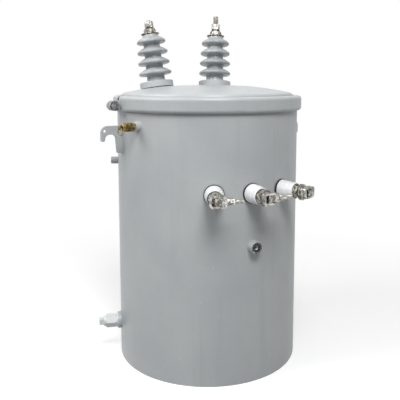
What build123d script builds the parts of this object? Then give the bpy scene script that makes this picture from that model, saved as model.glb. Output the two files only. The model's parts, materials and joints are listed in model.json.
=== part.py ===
from build123d import *
import os
from math import asin, cos, radians, sin, sqrt, tan

# ---------------------------------------------------------------------------
# Single-phase pole mounted distribution transformer, millimetres, +Z up.
# The origin is the centre of the tank's foot circle. The low-voltage bushings
# face -Y (azimuth 0), azimuths grow towards +X, and the pole is on the +Y side.
# On a fitting, "from", "end" and "l" are measured outwards from the tank wall.
# ---------------------------------------------------------------------------

# Shared clearances
lap = 1.0  # how far fused shapes run into each other and cutters run past a face
weld_gap = 0.2
rest_gap = 0.3

# Tank
tank_r = 250.0
tank_wall_t = 3.0
tank_h = 716.0
bottom_t = 4.0
bottom_recess = 12.0

# Rim bar, cover gasket, cover
rim_bar_w = 7.5
rim_bar_h = 26.0
gasket_t = 5.0
gasket_in = 6.0
gasket_edge = 2.0
cover_t = 3.0
cover_inset = 13.0
cover_rim_h = 9.0
cover_shoulder_r = 9.0
dome_sphere_r = 1150.0
dome_crown_r = 150.0  # inside this radius the dome is flatter than its sphere

# Cover band and draw-bolt
band_t = 3.0
band_gap_r = 0.5
band_corner_r = 9.0
band_fold_r = 6.0
band_top_gap = 4.0
band_low_gap = 1.0
band_azimuth = -90.0
band_slit = 16.0
ear_t = 6.0
ear_r = 13.0
ear_reach = 13.5
bolt_d = 10.0
bolt_drop = 5.0
bolt_hole_play = 1.0
bolt_washer_r = 12.5
bolt_washer_t = 2.0
bolt_head_af = 19.0
bolt_head_t = 8.0
bolt_nut_t = 10.0
bolt_nut_turn = 20.0
bolt_tail = 5.0

# High-voltage bushings, heights from the dome along the bushing's own axis
hv_azimuths = (-150.5, 145.7)
hv_inset = 72.0
hv_hole_play = 1.0
hv_fit = 0.4
hv_gasket_t = 4.5
hv_gasket_sink = 0.4
hv_seal_r = 47.0
hv_seal_t = 2.5
hv_ring_r = 49.3
hv_ring_h = 17.5
hv_ring_round = 2.0
hv_foot_r = 40.0
hv_foot_h = 8.0
hv_neck_r = 28.0
hv_shank_r = 30.0
hv_shank_drop = 70.0
hv_shank_bevel = 2.5
hv_core_r = 26.0
hv_core_top_r = 24.0
hv_shed_rs = (48.5, 47.2, 45.1, 42.7)
hv_first_shed = 45.5
hv_shed_pitch = 31.2
hv_shed_up = 13.5
hv_shed_down = 7.0
hv_shed_lip = 5.0
hv_lip_slope = 60.0  # how far the lip is turned over before the top face starts
hv_under_bow = (0.0, 0.8)
hv_upper_bow = (0.8, 1.2)
hv_top_h = 161.5
hv_top_r = 23.0
hv_top_bevel = 2.0

# High-voltage terminals
hv_washer_r = 27.0
hv_washer_edge = 2.0
hv_washer_t = 3.5
hv_nut_af = 31.0
hv_nut_t = 12.0
hv_post_r = 7.5
hv_post_in = 15.0
hv_post_tops = (202.0, 224.0)
hv_post_bevel = 1.0
hv_screw_azimuths = (-27.0, 153.0)
hv_loop_rise = 3.0
hv_loop_h = 17.0
hv_loop_w = 25.0
hv_loop_corner_r = 7.0
hv_loop_bight = 4.0
hv_loop_saddle = 6.7
hv_wire_gap = 7.0
hv_arm_play = 1.5
hv_eye_corner_r = 4.0
hv_screw_r = 4.0
hv_screw_l = 22.0
hv_screw_washer_r = 8.5
hv_screw_washer_t = 2.5
hv_screw_nut_af = 13.0
hv_screw_nut_t = 7.0

# Low-voltage bushings
lv_middle = -0.7
lv_spacing = 22.5
lv_drop = 225.0
lv_hole_play = 1.5
lv_gasket_r = 25.8
lv_gasket_t = 3.0
lv_gasket_play = 0.4
lv_shank_r = 16.5
lv_shank_in = 34.0
lv_base_r = 24.5
lv_barrel_r = 22.5
lv_barrel_end = 28.0
lv_step_l = 2.0
lv_nose_r = 21.4
lv_nose_tip_r = 21.0
lv_nose_end = 46.0
lv_base_round = 2.0
lv_barrel_round = 1.5
lv_nose_round = 2.5

# Low-voltage terminals
lv_stud_r = 7.0
lv_bore_play = 0.4
lv_washer_r = 17.0
lv_washer_t = 3.0
lv_nut_af = 28.0
lv_nut_t = 8.0
lv_head_from = 60.0
lv_head_t = 10.0
lv_head_w = 26.0
lv_head_h = 40.0
lv_head_round = 12.0
lv_head_shift = -2.0
lv_head_bevel = 2.0
lv_block_w = 18.0
lv_block_shift = 3.5
lv_block_h = 15.0
lv_block_round = 2.0
lv_wire_gap = 6.8
lv_loop_l = 15.0
lv_loop_wall = 5.0
lv_loop_saddle = 11.5
lv_loop_corner_r = 8.0
lv_arm_play = 1.7
lv_eye_corner_r = 3.5
lv_screw_r = 4.6
lv_screw_l = 39.0
lv_screw_stub = 2.0
lv_disc_rs = (9.5, 8.6)
lv_disc_t = 2.5
lv_screw_nut_af = 15.0
lv_screw_nut_t = 12.0
lv_has_nut = (True, True, False)
small_bevel = 0.8

# Lifting lugs, u outwards from the tank wall
lug_azimuths = (-90.0, 90.0)
lug_t = 9.5
lug_reach = 59.0
lug_drop = 66.0
lug_h = 72.0
lug_leg_w = 20.0
lug_leg_lean = 3.5
lug_tip_w = 11.0
lug_tip_h = 41.0
lug_web_h = 23.0
lug_arch_round = 12.0
lug_tip_round = 5.3
lug_corner_r = 18.0
lug_leg_round = 3.0
lug_eye_u = 48.3
lug_eye_drop = 13.5
lug_eye_l = 8.6
lug_eye_w = 7.0

# Pole hanger brackets
hanger_drop = 141.0
hanger_pitch = 285.75
hanger_w = 90.0
hanger_h = 72.0
hanger_t = 6.0
hanger_stand = 48.0
hanger_slot_r = 8.75
hanger_slot_l = 34.0
hanger_corner_r = 8.0

# Ground boss
ground_azimuth = 0.0
ground_drop = 359.0
ground_r = 15.5
ground_l = 20.0
ground_recess_r = 11.5
ground_recess = 3.0
ground_tap_r = 6.35
ground_tap_l = 15.0

# Pressure relief valve
relief_azimuth = -71.0
relief_drop = 64.0
relief_boss_r = 12.5
relief_boss_l = 13.0
relief_boss_round = 1.2
relief_neck_r = 8.5
relief_play = 0.5
relief_in = 4.0
relief_hex_af = 21.0
relief_hex_from = 19.0
relief_hex_l = 22.0
relief_barrel_r = 7.5
relief_end = 60.0
relief_tab_w = 11.0
relief_tab_t = 4.5
relief_tab_l = 9.0
relief_tab_round = 3.0
relief_eye_r = 2.6
relief_ring_r = 9.0
relief_wire_r = 1.1

# Side boss
side_azimuth = -115.0
side_drop = 172.0
side_r = 10.0
side_l = 21.0
side_hole_r = 5.0

# Drain coupling and plug
drain_azimuth = -104.0
drain_z = 95.0
drain_coupling_r = 22.8
drain_coupling_l = 9.0
drain_bore_r = 15.0
drain_play = 0.4
drain_collar_r = 20.0
drain_collar_l = 4.0
drain_body_af = 33.0
drain_body_end = 43.0
drain_cap_r = 14.5
drain_cap_end = 49.0
drain_cap_round = 2.0
drain_nib_w = 17.0
drain_nib_end = 61.0

# Core and coils, sealed inside
core_w = 300.0
core_d = 120.0
core_h = 380.0
coil_w = 200.0
coil_d = 230.0
coil_h = 250.0
coil_round = 60.0

# Places that follow from the sizes above
rim_r = tank_r + rim_bar_w
cover_rim_r = tank_r - cover_inset
gasket_top = tank_h + gasket_t
cover_seat = gasket_top + cover_t
shoulder_z = cover_seat + cover_rim_h
band_low = tank_h - rim_bar_h - band_t
band_top = cover_seat + band_t
band_mid = (band_low + band_top) / 2
band_in_r = rim_r + band_gap_r
band_r = band_in_r + band_t
band_lip_w = band_r - tank_r - band_low_gap
band_outer_round = min(band_corner_r, (band_top - band_low) / 2 - lap, band_lip_w - lap)
bolt_z = band_mid - bolt_drop
band_inner_round = min(band_fold_r, band_outer_round)
cover_flange_r = band_in_r - band_inner_round
hv_pitch_r = tank_r - hv_inset
hv_loop_from = hv_top_h + hv_washer_t + hv_nut_t + hv_loop_rise
lv_azimuths = (lv_middle - lv_spacing, lv_middle, lv_middle + lv_spacing)
lv_z = tank_h - lv_drop
lv_block_left = lv_block_shift - lv_block_w / 2
lv_block_right = lv_block_shift + lv_block_w / 2
lv_loop_from = lv_head_from + lv_head_t + rest_gap
lug_top_z = tank_h - lug_drop
hanger_zs = (tank_h - hanger_drop - hanger_pitch, tank_h - hanger_drop)
ground_z = tank_h - ground_drop
relief_z = tank_h - relief_drop
side_z = tank_h - side_drop


def sphere_drop(r):
    """How far the dome's sphere falls from its top at a radius."""
    return dome_sphere_r - sqrt(dome_sphere_r**2 - r**2)


dome_top = shoulder_z + sphere_drop(cover_rim_r)


def radial(azimuth, z):
    """A plane on the tank wall: local X round the tank, local Y up, local Z outwards."""
    a = radians(azimuth)
    place = (tank_r * sin(a), -tank_r * cos(a), z)
    return Plane(origin=place, x_dir=(cos(a), sin(a), 0), z_dir=(sin(a), -cos(a), 0))


def on_cover(azimuth, r):
    """A plane on the dome: local Z is the dome's normal, local X round the tank."""
    a = radians(azimuth)
    centre_z = dome_top - dome_sphere_r
    place = Vector(r * sin(a), -r * cos(a), dome_top - sphere_drop(r))
    out = place - Vector(0, 0, centre_z)
    return Plane(origin=place, x_dir=(cos(a), sin(a), 0), z_dir=out.normalized())


def rod(r, z0, z1):
    """A round bar from z0 to z1 on the local Z axis."""
    return Pos(0, 0, (z0 + z1) / 2) * Cylinder(r, z1 - z0)


def ring(r_out, r_in, z0, z1):
    """A plain ring from z0 to z1."""
    return rod(r_out, z0, z1) - rod(r_in, z0 - lap, z1 + lap)


def hexagon(af, z0, z1, turn=0.0):
    """A hexagonal bar of a width across flats, its corners turned off at both ends."""
    corner_r = af / sqrt(3)
    prism = Pos(0, 0, z0) * Rot(0, 0, turn) * extrude(RegularPolygon(corner_r, 6), z1 - z0)
    blank = chamfer(circles(rod(corner_r, z0, z1)), corner_r - af / 2)
    return prism & blank


def circles(shape, r=None):
    """The circular edges of a shape, lowest first, or those of one radius."""
    found = shape.edges().filter_by(GeomType.CIRCLE).sort_by(Axis.Z)
    return found if r is None else ShapeList([e for e in found if abs(e.radius - r) < 0.01])


def xz(*points):
    """Points in the local XZ plane from pairs (x, z)."""
    return [(x, 0, z) for x, z in points]


def rounded(points, rounds):
    """A face in the XZ plane from its corners; rounds maps a corner to its radius."""
    face = make_face(Polyline(*xz(*points), close=True))
    for (x, z), round_r in rounds.items():
        face = fillet(face.vertices().sort_by_distance((x, 0, z))[0], round_r)
    return face


def slab(x0, x1, width, corner):
    """A rounded rectangle in XY from x0 to x1, centred on Y."""
    return Pos((x0 + x1) / 2, 0, 0) * RectangleRounded(x1 - x0, width, corner)


def saddle(shape, plane):
    """A piece on the tank wall with its foot cut to the wall's curve."""
    wall = rod(tank_r + weld_gap, -lap, tank_h + lap)
    return (plane * shape) - wall


def dome_solid(edge_r, foot_z, sphere_z):
    """A solid under the dome, out to a radius and down to a height; its crown is flattened."""
    mid_r = (dome_crown_r + edge_r) / 2
    join, mid, edge = [(r, sphere_z - sphere_drop(r)) for r in (dome_crown_r, mid_r, edge_r)]
    slope = asin(dome_crown_r / dome_sphere_r)
    crown = (0, join[1] + dome_crown_r * tan(slope) / 3)
    top = Spline(*xz(crown, join), tangents=xz((1, 0), (cos(slope), -sin(slope))))
    sides = Polyline(*xz(crown, (0, foot_z), (edge_r, foot_z), edge))
    return revolve(make_face([sides, ThreePointArc(*xz(edge, mid, join)), top]), Axis.Z)


# --- tank ------------------------------------------------------------------
def tank_wall():
    shell = ring(tank_r, tank_r - tank_wall_t, 0, tank_h)
    holes = [(azimuth, lv_z, lv_shank_r + lv_hole_play) for azimuth in lv_azimuths]
    holes.append((relief_azimuth, relief_z, relief_neck_r + relief_play))
    holes.append((side_azimuth, side_z, side_hole_r))
    holes.append((drain_azimuth, drain_z, drain_bore_r))
    for azimuth, z, r in holes:
        shell -= radial(azimuth, z) * rod(r, -5 * tank_wall_t, 5 * tank_wall_t)
    return shell


def tank_bottom():
    return rod(tank_r - tank_wall_t - weld_gap, bottom_recess, bottom_recess + bottom_t)


def tank_rim():
    low = tank_h - rim_bar_h
    inner = tank_r + weld_gap
    low_round = min(band_inner_round, rim_bar_w - lap, rim_bar_h / 2)
    bar = rounded([(inner, low), (rim_r, low), (rim_r, tank_h), (inner, tank_h)], {(rim_r, low): low_round})
    return revolve(bar, Axis.Z)


def cover_gasket():
    return ring(rim_r - gasket_edge, tank_r - gasket_in, tank_h, gasket_top)


def cover():
    lid = dome_solid(cover_rim_r, gasket_top, dome_top)
    lid = fillet(circles(lid, cover_rim_r)[-1], cover_shoulder_r)
    lid += rod(cover_flange_r, gasket_top, cover_seat)
    lid -= dome_solid(cover_rim_r - cover_t, gasket_top - lap, dome_top - cover_t)
    for azimuth in hv_azimuths:
        lid -= on_cover(azimuth, hv_pitch_r) * rod(hv_shank_r + hv_hole_play, -hv_shank_drop, hv_foot_h)
    return lid


# --- cover band ------------------------------------------------------------
def cover_band():
    """Split hoop of channel section with two ears for the draw-bolt."""
    top_lip_r = cover_rim_r + band_top_gap
    low_lip_r = tank_r + band_low_gap
    low_in = band_low + band_t
    top_in = band_top - band_t
    channel = [(top_lip_r, band_top), (band_r, band_top), (band_r, band_low), (low_lip_r, band_low),
               (low_lip_r, low_in), (band_in_r, low_in), (band_in_r, top_in), (top_lip_r, top_in)]
    rounds = {(band_r, band_top): band_outer_round, (band_r, band_low): band_outer_round,
              (band_in_r, low_in): band_inner_round, (band_in_r, top_in): band_inner_round}
    hoop = revolve(rounded(channel, rounds), Axis.Z)
    height = band_top - band_low
    hoop -= Pos(-band_r, 0, band_mid) * Box(4 * band_corner_r, band_slit, height + 2 * lap)
    bolt_x = -band_r - ear_reach
    root_x = -band_in_r - lap
    for side in (-1, 1):
        y = side * (band_slit + ear_t) / 2
        hoop += Pos((bolt_x + root_x) / 2, y, bolt_z) * Box(root_x - bolt_x, ear_t, 2 * ear_r)
        hoop += Pos(bolt_x, y, bolt_z) * Rot(90, 0, 0) * Cylinder(ear_r, ear_t)
    bolt_hole = Cylinder((bolt_d + bolt_hole_play) / 2, band_slit + 4 * ear_t)
    hoop -= Pos(bolt_x, 0, bolt_z) * Rot(90, 0, 0) * bolt_hole
    return Rot(0, 0, band_azimuth + 90) * hoop


def band_bolt():
    """Draw-bolt through both ears, its head on the low-voltage side."""
    face = band_slit / 2 + ear_t
    seat = face + bolt_washer_t
    nut_end = seat + bolt_nut_t
    bolt = rod(bolt_d / 2, -nut_end - bolt_tail, seat)
    bolt += rod(bolt_washer_r, face, seat) + rod(bolt_washer_r, -seat, -face)
    bolt += hexagon(bolt_head_af, seat, seat + bolt_head_t)
    bolt += hexagon(bolt_head_af, -nut_end, -seat, bolt_nut_turn)
    axis = Plane(origin=(-band_r - ear_reach, 0, bolt_z), x_dir=(1, 0, 0), z_dir=(0, -1, 0))
    return Rot(0, 0, band_azimuth + 90) * (axis * bolt)


# --- high-voltage bushings ---------------------------------------------------
def shed(r, z, core_r, above_r):
    """The outline of one shed, from the core below it to the core above it."""
    low, lip_low = (core_r, z - hv_shed_down), (r - hv_shed_lip, z - hv_shed_lip)
    turned = radians(hv_lip_slope)
    lip_high = (r - hv_shed_lip * (1 - cos(turned)), z + hv_shed_lip * sin(turned))
    high = (above_r, z + hv_shed_up)
    under = ((low[0] + lip_low[0]) / 2 + hv_under_bow[0], (low[1] + lip_low[1]) / 2 + hv_under_bow[1])
    upper = ((high[0] + lip_high[0]) / 2 + hv_upper_bow[0], (high[1] + lip_high[1]) / 2 + hv_upper_bow[1])
    return [Spline(*xz(low, under, lip_low)), ThreePointArc(*xz(lip_low, (r, z), lip_high)),
            Spline(*xz(lip_high, upper, high))]


def hv_porcelain():
    """Four-shed porcelain about local Z, standing on the gasket."""
    foot_top = hv_gasket_t + hv_foot_h
    foot = [(0, -hv_shank_drop), (hv_shank_r - hv_shank_bevel, -hv_shank_drop),
            (hv_shank_r, -hv_shank_drop + hv_shank_bevel), (hv_shank_r, hv_gasket_t),
            (hv_foot_r, hv_gasket_t), (hv_foot_r, foot_top), (hv_neck_r, foot_top)]
    edges = [Polyline(*xz(*foot))]
    last = foot[-1]
    spaces = len(hv_shed_rs) - 1
    for i, r in enumerate(hv_shed_rs):
        z = hv_first_shed + i * hv_shed_pitch
        core_r = hv_core_r + (hv_core_top_r - hv_core_r) * i / spaces
        above_r = hv_top_r if i == spaces else core_r
        edges.append(Line(*xz(last, (core_r, z - hv_shed_down))))
        edges += shed(r, z, core_r, above_r)
        last = (above_r, z + hv_shed_up)
    edges.append(Polyline(*xz(last, (hv_top_r, hv_top_h - hv_top_bevel), (hv_top_r - hv_top_bevel, hv_top_h),
                              (0, hv_top_h), (0, -hv_shank_drop))))
    body = revolve(make_face(edges), Axis.Z)
    return body - rod(hv_post_r + hv_fit, hv_top_h - hv_post_in - lap, hv_top_h + lap)


def hv_ring():
    """Clamp ring that holds the porcelain's foot down."""
    cap = rod(hv_ring_r, hv_seal_t, hv_seal_t + hv_ring_h)
    cap = fillet(circles(cap)[-1], hv_ring_round)
    cap -= rod(hv_foot_r + hv_fit, 0, hv_gasket_t + hv_foot_h + hv_fit)
    return cap - rod(hv_neck_r + hv_fit, 0, hv_seal_t + hv_ring_h + lap)


def hv_gasket():
    """Gasket under the porcelain's foot, with the seal under the clamp ring."""
    inner = ring(hv_foot_r - hv_fit, hv_shank_r + hv_fit, -hv_gasket_sink, hv_gasket_t)
    outer = ring(hv_seal_r, hv_foot_r + hv_fit, -hv_gasket_sink, hv_seal_t)
    return inner + outer


def hv_post(top):
    """Terminal rod with its dished washer and nut."""
    seat = hv_top_h + hv_washer_t
    dish = [(0, hv_top_h), (hv_washer_r, hv_top_h), (hv_washer_r, hv_top_h + hv_washer_edge),
            (hv_nut_af / 2, seat), (0, seat)]
    post = revolve(rounded(dish, {}), Axis.Z) + hexagon(hv_nut_af, seat, seat + hv_nut_t)
    stem = rod(hv_post_r, hv_top_h - hv_post_in, top)
    return post + chamfer(circles(stem)[-1], hv_post_bevel)


def hv_eyebolt():
    """Loop round the rod with its wire gap at the back; its screw and nut are on local X."""
    eye_back = -hv_post_r - hv_wire_gap
    eye_front = hv_post_r + rest_gap
    loop_front = eye_front + hv_loop_saddle
    outer = slab(eye_back - hv_loop_bight, loop_front, hv_loop_w, hv_loop_corner_r)
    eye = slab(eye_back, eye_front, 2 * (hv_post_r + hv_arm_play), hv_eye_corner_r)
    loop = Pos(0, 0, hv_loop_from) * extrude(outer - eye, hv_loop_h)
    nut_from = loop_front + hv_screw_washer_t
    screw = rod(hv_screw_r, loop_front - lap, loop_front + hv_screw_l)
    screw += rod(hv_screw_washer_r, loop_front, nut_from)
    screw += hexagon(hv_screw_nut_af, nut_from, nut_from + hv_screw_nut_t)
    return loop + Pos(0, 0, hv_loop_from + hv_loop_h / 2) * Rot(0, 90, 0) * screw


# --- low-voltage bushings ----------------------------------------------------
def lv_porcelain():
    """White wall bushing about local Z, its shank inside the tank."""
    bore = lv_stud_r + lv_bore_play
    outline = [(bore, -lv_shank_in), (lv_shank_r, -lv_shank_in), (lv_shank_r, lv_gasket_t),
               (lv_base_r, lv_gasket_t), (lv_barrel_r, lv_barrel_end), (lv_nose_r, lv_barrel_end + lv_step_l),
               (lv_nose_tip_r, lv_nose_end), (bore, lv_nose_end)]
    rounds = {(lv_base_r, lv_gasket_t): lv_base_round, (lv_barrel_r, lv_barrel_end): lv_barrel_round,
              (lv_nose_tip_r, lv_nose_end): lv_nose_round}
    return revolve(rounded(outline, rounds), Axis.Z)


def lv_gasket():
    """Gasket under the bushing's flange; its inner face is cut to the tank's curve."""
    return ring(lv_gasket_r, lv_shank_r + lv_gasket_play, -2 * lv_gasket_t, lv_gasket_t)


def lv_post():
    """Terminal post: washer and nut on the nose, upright head plate, clamping block."""
    nut_from = lv_nose_end + lv_washer_t
    head_end = lv_head_from + lv_head_t
    block_end = lv_loop_from + lv_loop_l + lap
    washer = rod(lv_washer_r, lv_nose_end, nut_from)
    post = rod(lv_stud_r, -lv_shank_in, lv_head_from + lap)
    post += chamfer(circles(washer)[-1], small_bevel)
    post += hexagon(lv_nut_af, nut_from, nut_from + lv_nut_t)
    head = RectangleRounded(lv_head_w, lv_head_h, lv_head_round)
    head = Pos(lv_head_shift, 0, lv_head_from) * extrude(head, lv_head_t)
    post += fillet(head.edges().group_by(Axis.Z)[0], lv_head_bevel)
    block = slab(lv_block_left, lv_block_right, lv_block_h, lv_block_round)
    block = Pos(0, 0, head_end - lap) * extrude(block, block_end - head_end + lap)
    return post + chamfer(block.edges().group_by(Axis.Z)[-1], small_bevel)


def lv_eyebolt(has_nut):
    """Loop round the block with its wire gap on the left; its screw and nut are on local X."""
    eye_left = lv_block_left - lv_wire_gap
    eye_right = lv_block_right + rest_gap
    eye_h = lv_block_h + 2 * lv_arm_play
    loop_right = eye_right + lv_loop_saddle
    outer = slab(eye_left - lv_loop_wall, loop_right, eye_h + 2 * lv_loop_wall, lv_loop_corner_r)
    eye = slab(eye_left, eye_right, eye_h, lv_eye_corner_r)
    loop = Pos(0, 0, lv_loop_from) * extrude(outer - eye, lv_loop_l)
    screw = rod(lv_screw_r, loop_right - lap, loop_right + lv_screw_stub)
    if has_nut:
        at = loop_right
        for r in lv_disc_rs:
            screw += rod(r, at, at + lv_disc_t)
            at += lv_disc_t
        screw += hexagon(lv_screw_nut_af, at, at + lv_screw_nut_t)
        tail = rod(lv_screw_r, at, loop_right + lv_screw_l)
        screw += chamfer(circles(tail)[-1], small_bevel)
    return loop + Pos(0, 0, lv_loop_from + lv_loop_l / 2) * Rot(0, 90, 0) * screw


# --- lifting lugs and pole hangers -------------------------------------------
def lug():
    """Hook plate in the local XZ plane, X out from the tank wall, Z up."""
    leg_z = lug_top_z - lug_h
    tip_z = lug_top_z - lug_tip_h
    arch_z = lug_top_z - lug_web_h
    foot_u = lug_leg_w - lug_leg_lean
    tip_u = lug_reach - lug_tip_w
    outline = [(weld_gap, leg_z), (foot_u, leg_z), (lug_leg_w, arch_z), (tip_u, arch_z), (tip_u, tip_z),
               (lug_reach, tip_z), (lug_reach, lug_top_z), (weld_gap, lug_top_z)]
    rounds = {(foot_u, leg_z): lug_leg_round, (lug_leg_w, arch_z): lug_arch_round,
              (tip_u, arch_z): lug_arch_round, (tip_u, tip_z): lug_tip_round,
              (lug_reach, tip_z): lug_tip_round, (lug_reach, lug_top_z): lug_corner_r}
    plate = extrude(rounded(outline, rounds), lug_t / 2, dir=(0, 1, 0), both=True)
    eye = extrude(SlotOverall(lug_eye_l, lug_eye_w), lug_t, both=True)
    return plate - Pos(lug_eye_u, 0, lug_top_z - lug_eye_drop) * Rot(90, 0, 0) * eye


def hanger(z):
    """Pole bracket: a slotted face plate on two webs welded to the tank."""
    plate = RectangleRounded(hanger_w, hanger_h, hanger_corner_r)
    slot = SlotOverall(hanger_slot_l, 2 * hanger_slot_r, rotation=90)
    bracket = Pos(0, 0, hanger_stand - hanger_t) * extrude(plate - slot, hanger_t)
    web_h = hanger_h - 2 * hanger_corner_r
    for side in (-1, 1):
        x = side * (hanger_w / 2 - hanger_t)
        bracket += Pos(x, 0, (hanger_stand - hanger_t) / 2) * Box(hanger_t, web_h, hanger_stand + hanger_t)
    return saddle(bracket, radial(180, z))


# --- small fittings ------------------------------------------------------------
def ground_boss():
    boss = rod(ground_r, -lap, ground_l)
    boss = chamfer(circles(boss)[-1], small_bevel)
    face = ground_l - ground_recess
    boss -= rod(ground_recess_r, face, ground_l + lap)
    boss -= rod(ground_tap_r, face - ground_tap_l, face + lap)
    return saddle(boss, radial(ground_azimuth, ground_z))


def relief_boss():
    boss = rod(relief_boss_r, -lap, relief_boss_l)
    boss = fillet(circles(boss)[-1], relief_boss_round)
    boss -= rod(relief_neck_r + relief_play, -2 * lap, relief_boss_l + lap)
    return saddle(boss, radial(relief_azimuth, relief_z))


def relief_valve():
    """Hexagonal valve body whose flat end tab has a cross hole for the pull ring."""
    hex_end = relief_hex_from + relief_hex_l
    tab_from = relief_end - relief_tab_l
    body = rod(relief_neck_r, -relief_in, relief_hex_from + lap)
    body += hexagon(relief_hex_af, relief_hex_from, hex_end)
    body += chamfer(circles(rod(relief_barrel_r, hex_end, tab_from))[-1], small_bevel)
    tab = RectangleRounded(relief_tab_l + lap, relief_tab_w, relief_tab_round)
    tab = Rot(0, 90, 0) * extrude(tab, relief_tab_t / 2, both=True)
    body += Pos(0, 0, relief_end - (relief_tab_l + lap) / 2) * tab
    eye = Pos(0, 0, relief_end - relief_tab_l / 2) * Rot(0, 90, 0) * Cylinder(relief_eye_r, relief_tab_w)
    return radial(relief_azimuth, relief_z) * (body - eye)


def relief_ring():
    """Pull ring that hangs through the valve's cross hole."""
    hang = relief_eye_r - relief_wire_r - rest_gap
    hoop = Pos(0, -relief_ring_r - hang, relief_end - relief_tab_l / 2) * Torus(relief_ring_r, relief_wire_r)
    return radial(relief_azimuth, relief_z) * hoop


def side_boss():
    boss = rod(side_r, -lap, side_l)
    boss = fillet(circles(boss)[-1], small_bevel)
    return saddle(boss, radial(side_azimuth, side_z))


def drain_coupling():
    boss = ring(drain_coupling_r, drain_bore_r, -2 * lap, drain_coupling_l)
    boss = fillet(circles(boss, drain_coupling_r)[-1], small_bevel)
    return saddle(boss, radial(drain_azimuth, drain_z))


def drain_plug():
    """Plug in the drain coupling: collar, hexagonal body, round cap and square nib."""
    collar_end = drain_coupling_l + drain_collar_l
    plug = rod(drain_bore_r - drain_play, 0, drain_coupling_l + lap)
    plug += rod(drain_collar_r, drain_coupling_l, collar_end)
    plug += hexagon(drain_body_af, collar_end, drain_body_end)
    plug += fillet(circles(rod(drain_cap_r, drain_body_end, drain_cap_end))[-1], drain_cap_round)
    nib = extrude(RectangleRounded(drain_nib_w, drain_nib_w, small_bevel), drain_nib_end - drain_body_end)
    return radial(drain_azimuth, drain_z) * (plug + Pos(0, 0, drain_body_end) * nib)


def core_and_coils():
    """Core and coil stack, sealed inside on the tank bottom."""
    floor = bottom_recess + bottom_t
    core = Pos(0, 0, floor + core_h / 2) * Box(core_w, core_d, core_h)
    coil = extrude(RectangleRounded(coil_w, coil_d, coil_round), coil_h / 2, both=True)
    return core + Pos(0, 0, floor + core_h / 2) * coil


# --- assembly ----------------------------------------------------------------
parts = {
    "tank_wall": tank_wall(),
    "tank_bottom": tank_bottom(),
    "tank_rim": tank_rim(),
    "cover_gasket": cover_gasket(),
    "cover": cover(),
    "cover_band": cover_band(),
    "band_bolt": band_bolt(),
    "core_and_coils": core_and_coils(),
    "ground_boss": ground_boss(),
    "relief_boss": relief_boss(),
    "relief_valve": relief_valve(),
    "relief_ring": relief_ring(),
    "side_boss": side_boss(),
    "drain_coupling": drain_coupling(),
    "drain_plug": drain_plug(),
}

for i, azimuth in enumerate(hv_azimuths):
    seat = on_cover(azimuth, hv_pitch_r)
    turn = hv_screw_azimuths[i] - azimuth - 90
    parts[f"hv{i + 1}_porcelain"] = seat * hv_porcelain()
    parts[f"hv{i + 1}_gasket"] = seat * hv_gasket()
    parts[f"hv{i + 1}_clamp_ring"] = seat * hv_ring()
    parts[f"hv{i + 1}_post"] = seat * hv_post(hv_post_tops[i])
    parts[f"hv{i + 1}_eyebolt"] = seat * Rot(0, 0, turn) * hv_eyebolt()

for i, azimuth in enumerate(lv_azimuths):
    seat = radial(azimuth, lv_z)
    parts[f"lv{i + 1}_porcelain"] = seat * lv_porcelain()
    parts[f"lv{i + 1}_gasket"] = saddle(lv_gasket(), seat)
    parts[f"lv{i + 1}_post"] = seat * lv_post()
    parts[f"lv{i + 1}_eyebolt"] = seat * lv_eyebolt(lv_has_nut[i])

for side, azimuth in zip(("left", "right"), lug_azimuths):
    parts[f"lifting_lug_{side}"] = Rot(0, 0, azimuth - 90) * Pos(tank_r, 0, 0) * lug()

for level, z in zip(("lower", "upper"), hanger_zs):
    parts[f"pole_hanger_{level}"] = hanger(z)

os.makedirs("parts", exist_ok=True)
for name, shape in parts.items():
    export_step(shape, f"parts/{name}.step")
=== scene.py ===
import json
import math

import bmesh
import bpy
from mathutils import Matrix, Vector


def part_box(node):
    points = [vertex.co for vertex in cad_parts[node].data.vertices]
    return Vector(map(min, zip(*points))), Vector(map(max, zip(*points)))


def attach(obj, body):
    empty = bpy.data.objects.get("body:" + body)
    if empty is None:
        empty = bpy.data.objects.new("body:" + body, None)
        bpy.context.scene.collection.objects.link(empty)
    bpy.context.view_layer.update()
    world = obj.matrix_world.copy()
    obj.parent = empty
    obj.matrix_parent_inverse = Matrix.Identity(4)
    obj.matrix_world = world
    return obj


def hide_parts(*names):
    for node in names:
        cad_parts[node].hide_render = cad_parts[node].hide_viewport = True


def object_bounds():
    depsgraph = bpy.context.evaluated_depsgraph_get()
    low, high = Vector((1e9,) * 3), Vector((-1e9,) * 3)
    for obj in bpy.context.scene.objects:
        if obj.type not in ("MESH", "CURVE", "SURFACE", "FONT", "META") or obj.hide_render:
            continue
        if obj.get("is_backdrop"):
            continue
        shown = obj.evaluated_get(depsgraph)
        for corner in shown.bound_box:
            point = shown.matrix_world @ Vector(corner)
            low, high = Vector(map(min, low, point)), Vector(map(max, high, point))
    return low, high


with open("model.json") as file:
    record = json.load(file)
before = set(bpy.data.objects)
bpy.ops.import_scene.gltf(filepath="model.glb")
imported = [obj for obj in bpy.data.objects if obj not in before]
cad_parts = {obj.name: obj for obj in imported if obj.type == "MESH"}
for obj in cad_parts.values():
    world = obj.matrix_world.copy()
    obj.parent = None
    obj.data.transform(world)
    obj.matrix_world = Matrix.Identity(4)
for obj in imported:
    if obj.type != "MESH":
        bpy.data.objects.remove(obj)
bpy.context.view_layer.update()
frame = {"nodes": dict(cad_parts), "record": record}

# Pole mounted transformer: finishes, glazed sheds, threads, welds and edges round the packed
# CAD parts. Metres, the CAD's own frame: the low-voltage side faces -Y, the pole side +Y.

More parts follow.
